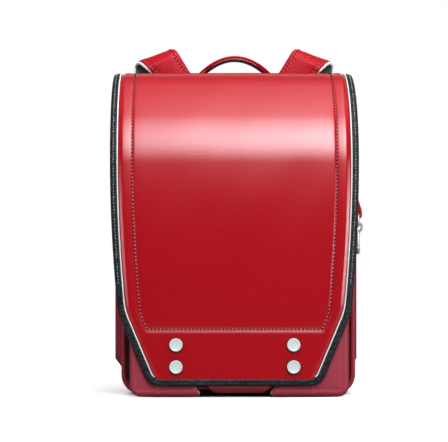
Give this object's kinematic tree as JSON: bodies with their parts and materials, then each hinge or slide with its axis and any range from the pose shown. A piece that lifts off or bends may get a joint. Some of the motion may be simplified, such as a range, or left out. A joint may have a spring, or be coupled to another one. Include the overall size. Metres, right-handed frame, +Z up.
{
  "type": "school backpack",
  "caption": "Firm box-shaped school backpack with a full-length flap in dark edge binding, a front pocket, padded shoulder straps, a top handle and a side snap hook.",
  "frame": {"origin": "middle of the flat bottom of the main compartment, on the surface that the bag stands on", "axes": "+Z up, -Y out of the flap's front, +X to the right as seen from the front"},
  "size_m": [0.2792, 0.2544, 0.3871],
  "materials": {
    "red_leather": "smooth coated leather with a soft sheen",
    "black_leather": "grained black edging with a stitched line",
    "reflective": "pale reflective piping",
    "silver_metal": "bright satin silver",
    "mesh_grey": "dark grey air mesh",
    "black_plastic": "moulded matte"
  },
  "bodies": {
    "bag": {"back_panel": "red_leather", "back_pad": "mesh_grey", "main_gusset": "red_leather", "main_front": "red_leather", "pocket_gusset": "red_leather", "pocket_front": "red_leather", "closing_tab": "red_leather", "bottom_clasp": "silver_metal", "flap": "red_leather", "flap_binding": "black_leather", "flap_piping_left": "reflective", "flap_piping_right": "reflective", "flap_rivet_upper_left": "silver_metal", "flap_rivet_upper_right": "silver_metal", "flap_rivet_lower_left": "silver_metal", "flap_rivet_lower_right": "silver_metal", "handle": "red_leather", "strap_anchor": "black_plastic", "shoulder_strap_left": "red_leather", "shoulder_strap_right": "red_leather", "lower_strap_left": "red_leather", "lower_strap_right": "red_leather", "strap_buckle_left": "silver_metal", "strap_buckle_right": "silver_metal", "strap_tab_left": "red_leather", "strap_tab_right": "red_leather", "hook_tab": "red_leather", "hook_ring": "silver_metal"},
    "snap_hook": {"hook_body": "silver_metal"},
    "snap_hook_gate": {"hook_gate": "silver_metal"}
  },
  "joints": [
    {"name": "hook_swing", "type": "hinge", "parent": "bag", "child": "snap_hook", "pos_m": [0.136, 0.02, 0.184], "axis": [0, -1, 0], "range_deg": [-8, 100]},
    {"name": "hook_gate_press", "type": "hinge", "parent": "snap_hook", "child": "snap_hook_gate", "pos_m": [0.136, 0.0162, 0.1747], "axis": [1, 0, 0], "range_deg": [0, 25], "stiffness_Nm_per_rad": 0.01, "springref_deg": -5.73}
  ]
}
